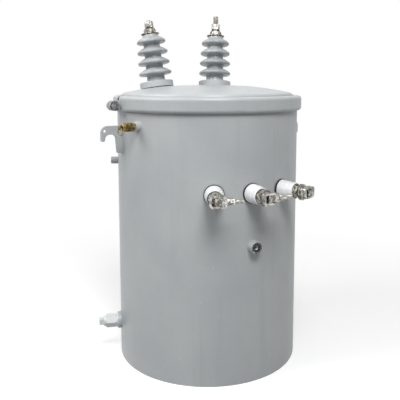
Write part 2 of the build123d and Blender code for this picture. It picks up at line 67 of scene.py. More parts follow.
MM = 0.001
SAME_POINT = 0.00001  # metres: points closer than this become one
SECTION_JOINT = 0.00005  # metres: the same for the ends of porcelain sections
RAIL_R = MM  # the small circle that a section is turned round
STEPS_PER_RIPPLE = 3.0  # along a weld bead
WANDER_SCALE, WANDER_MIDDLE = 90.0, 0.5  # the noise in a weld bead's width
GROWN_SHARP, CAD_SHARP = 35, 50  # degrees: edges that turn more than this stay sharp
BEVEL_FROM = 28  # degrees: edges that turn more than this are broken
FLAT_WITHIN = 0.4  # degrees: faces that turn less than this become one
MIX_FACTOR, MIX_FIRST, MIX_SECOND, MIX_RESULT = 0, 6, 7, 2  # a Mix node's colour sockets
nodes = frame["nodes"]


# ---------------------------------------------------------------- node trees
class Wire:
    """A socket of a node tree; sums, products and quotients of wires add Math nodes."""

    def __init__(self, graph, socket):
        self.graph = graph
        self.socket = socket

    def math(self, operation, *others):
        values = dict(enumerate((self,) + others))
        return self.graph.node("ShaderNodeMath", {"operation": operation}, values)

    def __add__(self, other):
        return self.math("ADD", other)

    def __sub__(self, other):
        return self.math("SUBTRACT", other)

    def __rsub__(self, other):
        return self.graph.node("ShaderNodeMath", {"operation": "SUBTRACT"}, {0: other, 1: self})

    def __mul__(self, other):
        return self.math("MULTIPLY", other)

    def __truediv__(self, other):
        return self.math("DIVIDE", other)

    __radd__ = __add__

    def clamp(self):
        return self.graph.node("ShaderNodeClamp", {}, {0: self})

    def between(self, low, high):
        """0 below low, 1 above high, smooth between them."""
        settings = {"interpolation_type": "SMOOTHSTEP"}
        return self.graph.node("ShaderNodeMapRange", settings, {0: self, 1: low, 2: high})

    def axis(self, name):
        return self.graph.node("ShaderNodeSeparateXYZ", {}, {0: self}, name)


class Graph:
    """A node tree that is written as expressions."""

    def __init__(self, tree):
        self.tree = tree

    def node(self, kind, settings=None, values=None, out=0):
        """Adds a node: its settings first, then its sockets' values or wires."""
        made = self.tree.nodes.new(kind)
        for name, value in (settings or {}).items():
            setattr(made, name, value)
        for name, value in (values or {}).items():
            if isinstance(value, Wire):
                self.tree.links.new(value.socket, made.inputs[name])
            else:
                made.inputs[name].default_value = value
        return Wire(self, made.outputs[out])

    def mix(self, factor, first, second):
        """Two colours mixed by a factor."""
        values = {MIX_FACTOR: factor, MIX_FIRST: first, MIX_SECOND: second}
        return self.node("ShaderNodeMix", {"data_type": "RGBA"}, values, MIX_RESULT)

    def noise(self, at, scale, detail=3.0, rough=0.5, warp=0.0):
        values = {"Vector": at, "Scale": scale, "Detail": detail, "Roughness": rough,
                  "Distortion": warp}
        return self.node("ShaderNodeTexNoise", {}, values)

    def cells(self, at, scale):
        """Distance to the nearest cell centre."""
        return self.node("ShaderNodeTexVoronoi", {}, {"Vector": at, "Scale": scale})

    def stretched(self, at, scale):
        return self.node("ShaderNodeMapping", {}, {"Vector": at, "Scale": scale})

    def joined(self, *parts):
        """Several geometries joined into one."""
        made = self.tree.nodes.new("GeometryNodeJoinGeometry")
        for part in parts:
            self.tree.links.new(part.socket, made.inputs[0])
        return Wire(self, made.outputs[0])


# ---------------------------------------------------------------- geometry trees
def new_tree(name, sizes):
    """A geometry tree with named inputs; sizes maps each name to its kind and first value."""
    tree = bpy.data.node_groups.new(name, "GeometryNodeTree")
    tree.interface.new_socket("Geometry", in_out="INPUT", socket_type="NodeSocketGeometry")
    for label, (kind, value) in sizes.items():
        socket = tree.interface.new_socket(label, in_out="INPUT", socket_type="NodeSocket" + kind)
        socket.default_value = value
    tree.interface.new_socket("Finish", in_out="INPUT", socket_type="NodeSocketMaterial")
    tree.interface.new_socket("Geometry", in_out="OUTPUT", socket_type="NodeSocketGeometry")
    g = Graph(tree)
    entry = tree.nodes.new("NodeGroupInput")
    return g, {socket.name: Wire(g, socket) for socket in entry.outputs if socket.name}


def close_tree(g, geometry, finish):
    """Realize Instances, Set Material and the tree's output."""
    solid = g.node("GeometryNodeRealizeInstances", {}, {"Geometry": geometry})
    coated = g.node("GeometryNodeSetMaterial", {}, {"Geometry": solid, "Material": finish})
    exit_node = g.tree.nodes.new("NodeGroupOutput")
    g.tree.links.new(coated.socket, exit_node.inputs[0])
    return g.tree


def combined(g, x, y, z):
    return g.node("ShaderNodeCombineXYZ", {}, {0: x, 1: y, 2: z})


def round_curve(g, steps, radius):
    values = {"Resolution": steps, "Radius": radius}
    return g.node("GeometryNodeCurvePrimitiveCircle", {"mode": "RADIUS"}, values)


def swept(g, rail, section, **more):
    """A section curve carried along a rail curve."""
    values = {"Curve": rail, "Profile Curve": section}
    values.update({socket.replace("_", " "): value for socket, value in more.items()})
    return g.node("GeometryNodeCurveToMesh", {}, values)


def merged(g, geometry, distance):
    return g.node("GeometryNodeMergeByDistance", {}, {"Geometry": geometry, "Distance": distance})


def revolved(g, section, steps):
    """A section curve drawn in XZ, turned about Z on a small rail."""
    spot = g.node("GeometryNodeInputPosition")
    flat = combined(g, spot.axis("X") - RAIL_R, spot.axis("Z") * -1.0, 0.0)
    profile = g.node("GeometryNodeSetPosition", {}, {"Geometry": section, "Position": flat})
    return merged(g, swept(g, round_curve(g, steps, RAIL_R), profile), SAME_POINT)


def named(g, name, kind):
    """A named attribute of the geometry."""
    return g.node("GeometryNodeInputNamedAttribute", {"data_type": kind}, {"Name": name})


def shed_tree():
    """A stack of porcelain sheds: one section repeated up the axis, then turned."""
    g, given = new_tree("porcelain sheds", {
        "Sheds": ("Int", 4), "First Shed": ("Float", 0.045), "Pitch": ("Float", 0.031),
        "Core Radius": ("Float", 0.026), "Core Taper": ("Float", 0.02),
        "Lip Radius": ("Float", 0.048), "Lip Shrink": ("Float", 0.001),
        "Shrink Growth": ("Float", 0.0), "Steps Round": ("Int", 96)})
    values = {"Geometry": given["Geometry"], "Selection": named(g, "repeats", "BOOLEAN")}
    section = g.node("GeometryNodeSeparateGeometry", {"domain": "POINT"}, values, "Selection")
    ends = Wire(g, section.socket.node.outputs["Inverted"])
    start = combined(g, 0.0, 0.0, given["First Shed"])
    step = combined(g, 0.0, 0.0, given["Pitch"])
    values = {"Count": given["Sheds"], "Start Location": start, "Offset": step}
    places = g.node("GeometryNodeMeshLine", {"mode": "OFFSET"}, values)
    stack = g.node("GeometryNodeInstanceOnPoints", {}, {"Points": places, "Instance": section})
    settings = {"data_type": "FLOAT", "domain": "INSTANCE"}
    values = {"Geometry": stack, "Name": "number", "Value": g.node("GeometryNodeInputIndex")}
    stack = g.node("GeometryNodeStoreNamedAttribute", settings, values)
    stack = g.node("GeometryNodeRealizeInstances", {}, {"Geometry": stack})
    number = named(g, "number", "FLOAT")
    spot = g.node("GeometryNodeInputPosition")
    height = spot.axis("Z")
    core = given["Core Radius"] - (height - given["First Shed"]) * given["Core Taper"]
    lip = given["Lip Radius"] - number * given["Lip Shrink"]
    lip = lip - number * number * given["Shrink Growth"]
    at = combined(g, core + spot.axis("X") * (lip - core), 0.0, height)
    stack = g.node("GeometryNodeSetPosition", {}, {"Geometry": stack, "Position": at})
    whole = merged(g, g.joined(stack, ends), SECTION_JOINT)
    outline = g.node("GeometryNodeMeshToCurve", {}, {"Mesh": whole})
    return close_tree(g, revolved(g, outline, given["Steps Round"]), given["Finish"])


def turned_tree():
    """A ring: its closed section turned about Z."""
    g, given = new_tree("turned ring", {"Steps Round": ("Int", 64)})
    outline = g.node("GeometryNodeMeshToCurve", {}, {"Mesh": given["Geometry"]})
    return close_tree(g, revolved(g, outline, given["Steps Round"]), given["Finish"])


def wound_tree():
    """A ridge or wire wound round Z: the threads and the pull ring."""
    g, given = new_tree("wound wire", {
        "Radius": ("Float", 0.006), "Pitch": ("Float", 0.0015), "Turns": ("Float", 10.0),
        "Wire Radius": ("Float", 0.0005), "Sides": ("Int", 4), "Steps Per Turn": ("Int", 28)})
    helix = g.node("GeometryNodeCurveSpiral", {}, {
        "Resolution": given["Steps Per Turn"], "Rotations": given["Turns"],
        "Start Radius": given["Radius"], "End Radius": given["Radius"],
        "Height": given["Pitch"] * given["Turns"]})
    helix = g.node("GeometryNodeSetCurveNormal", {"mode": "Z_UP"}, {"Curve": helix})
    ridge = round_curve(g, given["Sides"], given["Wire Radius"])
    return close_tree(g, swept(g, helix, ridge, Fill_Caps=True), given["Finish"])


def weld_tree():
    """A fillet weld along a path, with its ripples and its uneven width."""
    g, given = new_tree("weld bead", {
        "Bead Radius": ("Float", 0.002), "Ripple Pitch": ("Float", 0.0024),
        "Ripple Depth": ("Float", 0.16), "Unevenness": ("Float", 0.3), "Seed": ("Float", 3.0),
        "Sides": ("Int", 8)})
    path = g.node("GeometryNodeMeshToCurve", {}, {"Mesh": given["Geometry"]})
    values = {"Curve": path, "Length": given["Ripple Pitch"] / STEPS_PER_RIPPLE}
    path = g.node("GeometryNodeResampleCurve", {"mode": "LENGTH"}, values)
    along = g.node("GeometryNodeSplineParameter", {}, {}, "Length")
    ripple = (along / given["Ripple Pitch"]).math("FRACT")
    spot = g.node("GeometryNodeInputPosition")
    values = {"Vector": spot, "W": given["Seed"], "Scale": WANDER_SCALE, "Detail": 2.0}
    wander = g.node("ShaderNodeTexNoise", {"noise_dimensions": "4D"}, values) - WANDER_MIDDLE
    share = 1.0 - ripple * given["Ripple Depth"] + wander * given["Unevenness"]
    bead = swept(g, path, round_curve(g, given["Sides"], 1.0), Scale=given["Bead Radius"] * share,
                 Fill_Caps=True)
    return close_tree(g, bead, given["Finish"])


# ---------------------------------------------------------------- meshes and pieces
def path_mesh(name, points, closed=False):
    """A line through points: a ring's section, or the path of a weld."""
    mesh = bpy.data.meshes.new(name)
    count = len(points)
    runs = [(i, (i + 1) % count) for i in range(count if closed else count - 1)]
    mesh.from_pydata([Vector(p) for p in points], runs, [])
    return mesh


def grown(tree, mesh, sizes):
    """The plain mesh that a geometry tree makes from a start mesh."""
    holder = bpy.data.objects.new("holder", mesh)
    bpy.context.collection.objects.link(holder)
    modifier = holder.modifiers.new("grow", "NODES")
    modifier.node_group = tree
    for item in tree.interface.items_tree:
        if item.in_out == "INPUT" and item.name in sizes:
            modifier[item.identifier] = sizes[item.name]
    holder.update_tag()
    depsgraph = bpy.context.evaluated_depsgraph_get()
    made = bpy.data.meshes.new_from_object(holder.evaluated_get(depsgraph))
    bpy.data.objects.remove(holder)
    return made


def placed(mesh, seat):
    """A copy of a mesh carried to a seat, its matrix worked into the mesh."""
    copy = mesh.copy()
    copy.transform(seat)
    return copy


def one_mesh(name, meshes):
    """Meshes joined into one, with normals outwards and sharp edges kept."""
    bm = bmesh.new()
    materials = []
    for mesh in meshes:
        start = len(bm.faces)
        bm.from_mesh(mesh)
        bm.faces.ensure_lookup_table()
        for material in mesh.materials:
            if material not in materials:
                materials.append(material)
        index = materials.index(mesh.materials[0])
        for face in bm.faces[start:]:
            face.material_index = index
    bmesh.ops.recalc_face_normals(bm, faces=bm.faces)
    soften(bm, GROWN_SHARP)
    made = bpy.data.meshes.new(name)
    bm.to_mesh(made)
    bm.free()
    for material in materials:
        made.materials.append(material)
    return made


def soften(bm, degrees):
    """Smooth faces, with edges over an angle kept sharp."""
    limit = math.radians(degrees)
    for face in bm.faces:
        face.smooth = True
    for edge in bm.edges:
        edge.smooth = len(edge.link_faces) == 2 and edge.calc_face_angle(0) < limit


def show(name, mesh, stands_for=()):
    """Links a finished mesh as a piece of the one body."""
    piece = bpy.data.objects.new(name, mesh)
    bpy.context.collection.objects.link(piece)
    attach(piece, "root")
    if stands_for:
        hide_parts(*stands_for)
    return piece


def bevelled(node, width, material):
    """A piece for a CAD node: a copy whose sharp edges are broken by a width in mm."""
    bm = bmesh.new()
    bm.from_mesh(nodes[node].data)
    bmesh.ops.remove_doubles(bm, verts=bm.verts, dist=SAME_POINT)
    bmesh.ops.dissolve_limit(bm, angle_limit=math.radians(FLAT_WITHIN), verts=bm.verts,
                             edges=bm.edges)
    limit = math.radians(BEVEL_FROM)
    sharp = [e for e in bm.edges if len(e.link_faces) == 2 and e.calc_face_angle(0) > limit]
    bmesh.ops.bevel(bm, geom=sharp, offset=width * MM, offset_type="OFFSET", segments=2,
                    profile=0.6, affect="EDGES", clamp_overlap=True)
    bmesh.ops.recalc_face_normals(bm, faces=bm.faces)
    soften(bm, CAD_SHARP)
    made = bpy.data.meshes.new(node + "_finished")
    bm.to_mesh(made)
    bm.free()
    made.materials.append(material)
    piece = show(node + "_finished", made, (node,))
    weighted = piece.modifiers.new("even shading", "WEIGHTED_NORMAL")
    weighted.keep_sharp = True
    return piece


# ---------------------------------------------------------------- finishes
BLACK, WHITE = (0, 0, 0, 1), (1, 1, 1, 1)
SPECK_CORE = 0.6  # the share of a speck that is solid


def grey(level):
    """A grey written as a linear value."""
    return (level, level, level, 1)


def rgb(r, g, b):
    """An sRGB colour written 0 to 255, as a linear colour."""
    def linear(v):
        v /= 255
        return v / 12.92 if v <= 0.04045 else ((v + 0.055) / 1.055) ** 2.4
    return (linear(r), linear(g), linear(b), 1.0)


def scaled(colour, by):
    """A colour made lighter or darker, no lighter than white."""
    return tuple(min(c * by, 1.0) for c in colour[:3]) + (1.0,)


def finish(name, paint, **uniform):
    """A material: paint gives the wires that vary, uniform the values that do not."""
    material = bpy.data.materials.new(name)
    material.use_nodes = True
    g = Graph(material.node_tree)
    shader = material.node_tree.nodes["Principled BSDF"]
    for socket, value in uniform.items():
        shader.inputs[socket.replace("_", " ")].default_value = value
    made = paint(g, g.node("ShaderNodeTexCoord", {}, {}, "Object"))
    if "Height" in made:
        values = {"Strength": 1.0, "Distance": made.pop("Depth"), "Height": made.pop("Height")}
        made["Normal"] = g.node("ShaderNodeBump", {}, values)
    for socket, wire in made.items():
        material.node_tree.links.new(wire.socket, shader.inputs[socket])
    return material


def edges(g, low, high):
    """0 to 1 as pointiness goes from low to high: above flat it marks worn outer edges; below flat
    and turned over it marks concave corners, which get painted shade.
    """
    return g.node("ShaderNodeNewGeometry", {}, {}, "Pointiness").between(low, high)


def specks(g, at, scale, size):
    """Small round specks at random places."""
    return 1.0 - g.cells(at, scale).between(size * SPECK_CORE, size)


def enamel(light, dark):
    """Sprayed tank enamel: cloudy tone, faint runs, grit, dust and orange peel."""
    run_tone, grit, dust = scaled(dark, 0.82), rgb(104, 108, 112), rgb(214, 217, 219)

    def paint(g, at):
        cloud = g.noise(at, scale=4.5, detail=4.0, rough=0.6)
        runs = g.noise(g.stretched(at, (30.0, 30.0, 1.5)), scale=1.0, detail=3.0, rough=0.55)
        peel = g.noise(at, scale=330.0, detail=2.0, rough=0.45)
        waves = g.noise(at, scale=24.0, detail=2.0, rough=0.5)
        tall = g.stretched(at, (1.0, 1.0, 0.6))
        colour = g.mix(cloud.between(0.32, 0.68), dark, light)
        colour = g.mix(runs.between(0.5, 0.8) * 0.3, colour, run_tone)
        colour = g.mix(specks(g, at, scale=120.0, size=0.14) * 0.22, colour, grit)
        colour = g.mix(specks(g, tall, scale=34.0, size=0.05) * 0.5, colour, dust)
        return {"Base Color": colour, "Roughness": 0.34 + cloud * 0.1 + runs * 0.08,
                "Height": peel * 0.12 + waves, "Depth": 0.00022}
    return paint


def glaze(light, dark, shade):
    """Fired glaze: slow tone changes, thin runs down the body and pinholes."""
    pinhole = rgb(92, 88, 82)

    def paint(g, at):
        cloud = g.noise(at, scale=24.0, detail=3.0, rough=0.5)
        flow = g.noise(g.stretched(at, (110.0, 110.0, 18.0)), scale=1.0, detail=3.0, rough=0.5)
        dimples = g.noise(at, scale=130.0, detail=2.0, rough=0.4)
        colour = g.mix(cloud.between(0.3, 0.7), dark, light)
        colour = g.mix(flow.between(0.52, 0.8) * 0.35, colour, shade)
        colour = g.mix(specks(g, at, scale=210.0, size=0.1) * 0.45, colour, pinhole)
        return {"Base Color": colour, "Roughness": 0.24 + cloud * 0.1 + flow * 0.04,
                "Height": dimples * 0.25 + flow, "Depth": 0.00012}
    return paint


def cast_metal(light, dark, tarnish_and_shade, grain):
    """Metal in patches with a tarnish film, darker in its concave corners (real tarnish and painted
    shade) and lighter on its worn edges, with a grain of a given depth.
    """
    worn = scaled(light, 1.25)

    def paint(g, at):
        patches = g.noise(at, scale=130.0, detail=4.0, rough=0.62, warp=0.4)
        film = g.noise(at, scale=230.0, detail=3.0, rough=0.6)
        fine = g.noise(at, scale=750.0, detail=3.0, rough=0.6)
        colour = g.mix(patches.between(0.42, 0.6), dark, light)
        colour = g.mix(film.between(0.5, 0.66) * 0.6, colour, tarnish_and_shade)
        # Real tarnish and painted shade: concave corners darken towards the tarnish colour, where
        # shade falls.
        colour = g.mix((1.0 - edges(g, 0.43, 0.495)) * 0.85, colour, tarnish_and_shade)
        colour = g.mix(edges(g, 0.52, 0.6) * 0.6, colour, worn)
        return {"Base Color": colour, "Roughness": 0.33 + patches * 0.2 + film * 0.12,
                "Height": fine + film * 0.8, "Depth": grain}
    return paint


def moulded_rubber(g, at):
    """Black rubber with a grey bloom and dust."""
    bloom = g.noise(at, scale=60.0, detail=4.0, rough=0.65)
    dust = g.noise(at, scale=620.0, detail=2.0, rough=0.6)
    colour = g.mix(bloom.between(0.4, 0.75), rgb(34, 34, 36), rgb(58, 58, 60))
    colour = g.mix(dust.between(0.62, 0.75) * 0.4, colour, rgb(120, 119, 116))
    return {"Base Color": colour, "Roughness": 0.5 + bloom * 0.25, "Height": dust + bloom,
            "Depth": 0.00008}


def stacked_steel(g, at):
    """Core laminations and varnished windings."""
    plies = g.noise(g.stretched(at, (4.0, 4.0, 420.0)), scale=1.0, detail=2.0)
    colour = g.mix(plies.between(0.35, 0.65), rgb(58, 52, 48), rgb(96, 88, 82))
    return {"Base Color": colour, "Roughness": 0.55 + plies * 0.2, "Height": plies, "Depth": 0.0003}


def metal(name, light, dark, tarnish_and_shade, grain, metallic=1.0):
    """A cast_metal finish, with its three colours given as numbers for rgb."""
    paint = cast_metal(rgb(*light), rgb(*dark), rgb(*tarnish_and_shade), grain)
    return finish(name, paint, Metallic=metallic)


tank_paint = finish("tank_enamel", enamel(rgb(175, 179, 180), rgb(166, 170, 172)),
                    Coat_Weight=0.12, Coat_Roughness=0.2)
weld_paint = finish("painted_weld", enamel(rgb(170, 174, 175), rgb(154, 158, 160)),
                    Coat_Weight=0.25, Coat_Roughness=0.2)
fitting_paint = finish("pale_fitting_paint", enamel(rgb(212, 214, 214), rgb(200, 203, 204)),
                       Coat_Weight=0.3, Coat_Roughness=0.15)
rubber = finish("gasket_rubber", moulded_rubber)
sky_glaze = finish("grey_bushing_glaze",
                   glaze(rgb(178, 181, 182), rgb(156, 160, 162), rgb(112, 117, 120)),
                   Coat_Weight=0.12, Coat_Roughness=0.12, Specular_IOR_Level=0.3)
white_glaze = finish("white_bushing_glaze",
                     glaze(rgb(232, 234, 235), rgb(219, 222, 224), rgb(190, 193, 195)),
                     Coat_Weight=0.25, Coat_Roughness=0.08)
# Each metal's third colour is its tarnish, which also paints shade into concave corners.
tinned_casting = metal("tinned_casting", (214, 213, 209), (120, 118, 114), (22, 21, 20), 0.0003)
tinned_turning = metal("tinned_turning", (198, 196, 186), (104, 101, 92), (20, 19, 17), 0.00012)
brass = metal("plain_brass", (168, 146, 92), (84, 71, 42), (22, 18, 12), 0.0002)
zinc_steel = metal("zinc_steel", (158, 159, 160), (98, 99, 100), (26, 26, 27), 0.00012)
dark_steel = metal("dark_steel", (84, 86, 86), (48, 50, 50), (16, 17, 17), 0.0001, metallic=0.6)
core_steel = finish("core_steel", stacked_steel)

slot_of = {row["node"]: row["material_slot"] for row in frame["record"]["subparts"]}
finish_of_slot = {"tank_paint": tank_paint, "gasket_rubber": rubber, "grey_glaze": sky_glaze,
                  "white_glaze": white_glaze, "tinned_bronze": tinned_turning, "plain_brass": brass,
                  "plated_steel": zinc_steel, "core_steel": core_steel}
for name, node in nodes.items():
    for slot in node.material_slots:
        slot.material = finish_of_slot[slot_of[name]]


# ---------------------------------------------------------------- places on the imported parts
tank_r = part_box("tank_wall")[1].x
rim_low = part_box("tank_rim")[0].z
bottom_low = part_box("tank_bottom")[0].z
dome_r = 1.150
ring_mid = 0.01125  # from the dome up to the middle of a clamp ring


def middle_of(node):
    low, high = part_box(node)
    return (low + high) / 2


def azimuth_of(node):
    """The bearing of a fitting round the tank, 0 at the low-voltage side, towards +X."""
    centre = middle_of(node)
    return math.atan2(centre.x, -centre.y)


def seat_from(place, across, out):
    """A seat at a place: X across, Z out."""
    turn = Matrix((across, out.cross(across), out)).transposed()
    return Matrix.Translation(place) @ turn.to_4x4()


def round_tank(azimuth):
    """The level direction round the tank at a bearing."""
    return Vector((math.cos(azimuth), math.sin(azimuth), 0))


def wall_seat(azimuth, height):
    """On the tank wall: X round the tank, Y up, Z outwards."""
    out = Vector((math.sin(azimuth), -math.cos(azimuth), 0))
    return seat_from(out * tank_r + Vector((0, 0, height)), round_tank(azimuth), out)


def bushing_seat(number):
    """On the cover's dome, Z along a high-voltage bushing."""
    ring = f"hv{number}_clamp_ring"
    centre = middle_of(ring)
    reach = math.hypot(centre.x, centre.y)
    lean = math.asin(reach / (dome_r + ring_mid))
    out = Vector((centre.x / reach * math.sin(lean), centre.y / reach * math.sin(lean),
                  math.cos(lean)))
    return seat_from(centre - out * ring_mid, round_tank(azimuth_of(ring)), out)


def on_wall(azimuth, height, across, up, proud=0.0):
    """A point on the tank's round wall, across and up from a bearing and a height."""
    angle = azimuth + math.asin(across / tank_r)
    reach = tank_r + proud
    return Vector((reach * math.sin(angle), -reach * math.cos(angle), height + up))


def section_points(profile):
    """Points of a section from pairs of radius and height in mm."""
    return [(r * MM, 0, z * MM) for r, z in profile]


def full_turn(steps):
    """Angles spread evenly round a full turn."""
    return [math.tau * i / steps for i in range(steps)]


def show_joined(name, meshes, stands_for=()):
    """Meshes joined and shown as one piece."""
    show(name, one_mesh(name, meshes), stands_for)


# ---------------------------------------------------------------- high-voltage porcelain
sheds = 4
shed_pitch = 31.2 * MM
first_shed = 45.5 * MM
core_low_r = 26 * MM
core_taper = 2 / 93.6  # 2 mm in radius from the first shed to the last
lip_r = 48.5 * MM
lip_shrink, shrink_growth = 1.02 * MM, 0.3 * MM  # by a shed's number and by its square
porcelain_steps = 112

# One shed in mm: outwards from the core's surface and up from the middle of its lip. A curve is
# the point that pulls it, the point where it ends and its steps.
lip_reach, lip_round = 22.5, 5.0
lip_x = lip_reach - lip_round
half_pitch = shed_pitch / MM / 2
neck_end = -10.0
under_curves = (((0, -7.5), (2.4, -7.2), 4), ((9.0, -5.2), (lip_x, -lip_round), 5))
lip_arc = range(-75, 61, 15)  # degrees, from the lip's underside to its top
over_curves = (((11.0, 11.2), (2.2, 13.4), 8), ((0, 14.0), (0, half_pitch), 3))

# The porcelain's foot and head: radius and height in mm.
foot_profile = ((0, 6), (28, 6), (28, 18), (27.2, 24))
head_profile = ((23.4, 158), (22.6, 160.4), (21, 161.5), (0, 161.5))


def with_curves(points, curves):
    """Points followed by curves, each from the last point to its end, drawn to its pull."""
    for pull, end, steps in curves:
        start = points[-1]
        for i in range(1, steps + 1):
            t = i / steps
            points.append(tuple((1 - t) ** 2 * a + 2 * t * (1 - t) * b + t * t * c
                                for a, b, c in zip(start, pull, end)))
    return points


def shed_section():
    """One shed from neck to neck: X is 0 at the core and 1 at the lip, Z is in metres."""
    points = with_curves([(0, -half_pitch), (0, neck_end)], under_curves)
    for angle in map(math.radians, lip_arc):
        points.append((lip_x + lip_round * math.cos(angle), lip_round * math.sin(angle)))
    return [(x / lip_reach, 0, z * MM) for x, z in with_curves(points, over_curves)]


def core_at(height):
    return core_low_r - (height - first_shed) * core_taper


def porcelain_start():
    """The repeated section with the foot and the head of the porcelain beside it."""
    section = shed_section()
    low = first_shed - shed_pitch / 2
    high = first_shed + (sheds - 0.5) * shed_pitch
    foot = section_points(foot_profile) + [(core_at(low), 0, low)]
    head = [(core_at(high), 0, high)] + section_points(head_profile)
    points, runs = [], []
    for chain in (section, foot, head):
        first = len(points)
        points += chain
        runs += [(i, i + 1) for i in range(first, len(points) - 1)]
    mesh = bpy.data.meshes.new("porcelain_section")
    mesh.from_pydata(points, runs, [])
    repeats = mesh.attributes.new("repeats", "BOOLEAN", "POINT")
    repeats.data.foreach_set("value", [i < len(section) for i in range(len(points))])
    return mesh


porcelain = grown(shed_tree(), porcelain_start(), {
    "Sheds": sheds, "First Shed": first_shed, "Pitch": shed_pitch, "Core Radius": core_low_r,
    "Core Taper": core_taper, "Lip Radius": lip_r, "Lip Shrink": lip_shrink,
    "Shrink Growth": shrink_growth, "Steps Round": porcelain_steps, "Finish": sky_glaze})
for number in (1, 2):
    show_joined(f"hv{number}_sheds", [placed(porcelain, bushing_seat(number))],
                (f"hv{number}_porcelain",))


# ---------------------------------------------------------------- threads and the pull ring
# A thread is its low end, high end, radius and pitch in mm, along the axis of its own seat.
hv_post_low, hv_post_r, hv_post_pitch, hv_post_chamfer = 177.0, 7.5, 1.75, 1.2
hv_clamp_screw = (24.2, 36.0, 4.0, 1.25)
lv_post_thread = (57.0, 60.0, 7.0, 1.75)
lv_clamp_screw = (41.3, 62.2, 4.6, 1.4)
band_bolt_threads = ((-30.6, -26.0, 5.0, 1.5), (-8.0, 8.0, 5.0, 1.5))
relief_threads = ((13.0, 19.0, 8.5, 1.4), (41.2, 50.6, 7.5, 1.2))
ground_threads = ((3.0, 16.4, 6.35, 1.95),)
thread_sunk = 0.15  # mm from a thread's radius in to the middle of its ridge
ridge_share = 0.36  # a ridge's radius as a share of the pitch

# High-voltage bushings: number, the post's top in mm and the bearing of the clamp's screw.
hv_terminals = ((1, 202.0, -27), (2, 224.0, 153))
hv_screw_height, lv_screw_height = 188.5, 77.8
lv_long_screws = 2  # the third low-voltage clamp's screw is a stub

ring_wire = 0.62  # mm
ring_turns = 1.9
ring_inset = 1.4  # wire radii from the ring's box in to the wire's middle

wound = wound_tree()


def wound_mesh(sizes):
    return grown(wound, path_mesh("start", [(0, 0, 0), (0, 0, MM)]), sizes)


def thread(seat, low, high, radius, pitch, material):
    """A rolled thread round a seat's Z."""
    ridge = wound_mesh({"Radius": (radius - thread_sunk) * MM, "Pitch": pitch * MM,
                        "Turns": (high - low) / pitch, "Wire Radius": pitch * ridge_share * MM,
                        "Finish": material})
    return placed(ridge, seat @ Matrix.Translation((0, 0, low * MM)))


def show_threads(name, seat, rows, material):
    """The threads along one seat as one piece."""
    show_joined(name, [thread(seat, *row, material) for row in rows])


def sideways(seat, turn, height):
    """A seat whose Z runs out sideways from another seat's axis."""
    return (seat @ Matrix.Rotation(turn, 4, "Z") @ Matrix.Translation((0, 0, height * MM))
            @ Matrix.Rotation(math.pi / 2, 4, "Y"))


lv_seats = [wall_seat(azimuth_of(f"lv{n}_porcelain"), middle_of(f"lv{n}_porcelain").z)
            for n in (1, 2, 3)]
tin_threads = []
for number, top, screw_bearing in hv_terminals:
    seat = bushing_seat(number)
    turn = math.radians(screw_bearing - 90) - azimuth_of(f"hv{number}_clamp_ring")
    post = (hv_post_low, top - hv_post_chamfer, hv_post_r, hv_post_pitch)
    tin_threads.append(thread(seat, *post, tinned_turning))
    screw_seat = sideways(seat, turn, hv_screw_height)
    tin_threads.append(thread(screw_seat, *hv_clamp_screw, tinned_turning))
for number, seat in enumerate(lv_seats):
    tin_threads.append(thread(seat, *lv_post_thread, tinned_turning))
    if number < lv_long_screws:
        screw_seat = sideways(seat, 0, lv_screw_height)
        tin_threads.append(thread(screw_seat, *lv_clamp_screw, tinned_turning))
show_joined("terminal_threads", tin_threads)

bolt_centre = middle_of("band_bolt")
bolt_seat = seat_from(Vector((bolt_centre.x, 0, bolt_centre.z)), Vector((1, 0, 0)),
                      Vector((0, -1, 0)))
show_threads("band_bolt_thread", bolt_seat, band_bolt_threads, zinc_steel)

relief_seat = wall_seat(azimuth_of("relief_boss"), middle_of("relief_boss").z)
show_threads("relief_valve_thread", relief_seat, relief_threads, brass)

ground_seat = wall_seat(azimuth_of("ground_boss"), middle_of("ground_boss").z)
show_threads("ground_tap_thread", ground_seat, ground_threads, zinc_steel)

ring_low, ring_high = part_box("relief_ring")
coil = wound_mesh({
    "Radius": (ring_high.z - ring_low.z) / 2 - ring_wire * MM * ring_inset,
    "Pitch": 2 * ring_wire * MM, "Turns": ring_turns, "Wire Radius": ring_wire * MM,
    "Sides": 10, "Steps Per Turn": 56, "Finish": brass})
ring_out = wall_seat(azimuth_of("relief_boss"), 0).to_3x3().to_4x4()
ring_seat = (Matrix.Translation(middle_of("relief_ring")) @ ring_out
             @ Matrix.Translation((0, 0, -ring_turns * ring_wire * MM)))
show_joined("pull_ring", [placed(coil, ring_seat)], ("relief_ring",))


# ---------------------------------------------------------------- terminal seals and tap seat
seal_r, seal_height = 17.6, 46.2  # mm, the middle of the seal's oval section
seal_half_w, seal_half_h = 1.3, 1.1
seal_profile = [(seal_r + seal_half_w * math.cos(a), seal_height + seal_half_h * math.sin(a))
                for a in full_turn(12)]
tap_seat_profile = ((6.6, 17.0), (11.4, 17.0), (11.4, 18.5), (10.7, 18.5), (9.9, 17.7), (7.6, 17.7),
                    (7.0, 18.2), (6.6, 18.2))
turned_rings = turned_tree()


def show_rings(name, profile, seats, material):
    """One turned ring at each seat, its closed section given in mm, all as one piece."""
    start = path_mesh(name + "_section", section_points(profile), closed=True)
    ring = grown(turned_rings, start, {"Finish": material})
    show_joined(name, [placed(ring, seat) for seat in seats])


show_rings("terminal_seals", seal_profile, lv_seats, rubber)
show_rings("ground_tap_seat", tap_seat_profile, [ground_seat], dark_steel)


